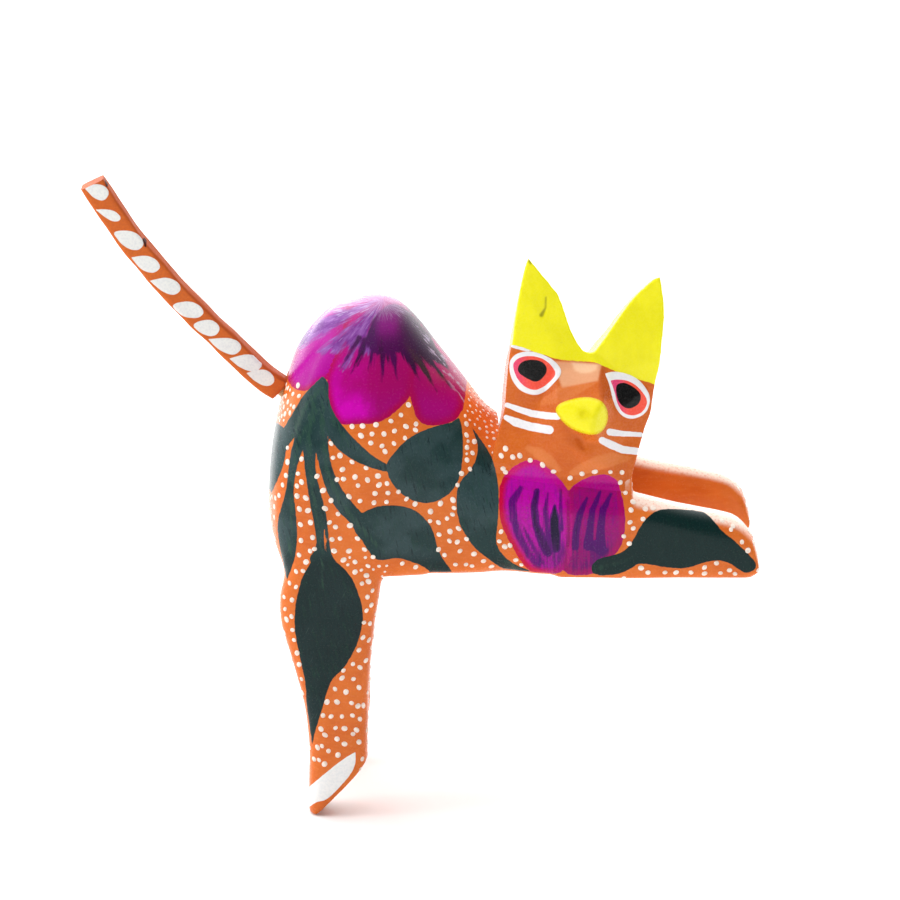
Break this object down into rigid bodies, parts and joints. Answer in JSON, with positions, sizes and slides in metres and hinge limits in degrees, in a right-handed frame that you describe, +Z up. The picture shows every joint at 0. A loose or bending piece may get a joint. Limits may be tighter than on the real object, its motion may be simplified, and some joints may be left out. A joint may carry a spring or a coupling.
{
  "type": "painted carved wooden cat figure",
  "caption": "Shelf-sitting cat whittled from pieced wood and hand painted: arched back, hind legs that hang over a shelf edge, forelegs stretched flat, plug-in tail.",
  "frame": {"origin": "on the flat underside, at mid-width, at the inner corner where the belly meets the front of the hind legs: the corner that fits a shelf's top edge", "axes": "+X from the rump towards the head and forelegs, +Z up, +Y towards the cat's left side; the face looks along -Y"},
  "size_m": [0.1476, 0.0421, 0.1414],
  "materials": {
    "orange_paint": "glossy acrylic paint on soft wood, orange ground with dark green leaves, magenta petals and near-white dots",
    "face_paint": "glossy acrylic paint on soft wood, orange face with bright yellow ears and nose",
    "tail_paint": "glossy acrylic paint on soft wood, orange with white leaf-shaped marks",
    "bare_wood": "unpainted soft wood dowel"
  },
  "bodies": {
    "figure": {"body": "orange_paint", "head": "face_paint", "foreleg_right": "orange_paint", "foreleg_left": "orange_paint", "hind_leg_right": "orange_paint", "hind_leg_left": "orange_paint", "neck_dowel": "bare_wood", "shoulder_dowels": "bare_wood", "hip_dowels": "bare_wood"},
    "peg": {"tail_peg": "bare_wood"},
    "tail": {"tail": "tail_paint"}
  },
  "joints": [
    {"name": "tail_unplug", "type": "slide", "parent": "figure", "child": "peg", "axis": [-0.7431, 0, 0.6691], "range_m": [0, 0.016]},
    {"name": "tail_turn", "type": "hinge", "parent": "peg", "child": "tail", "pos_m": [-0.0216, 0, 0.0372], "axis": [-0.7431, 0, 0.6691], "continuous": true}
  ]
}
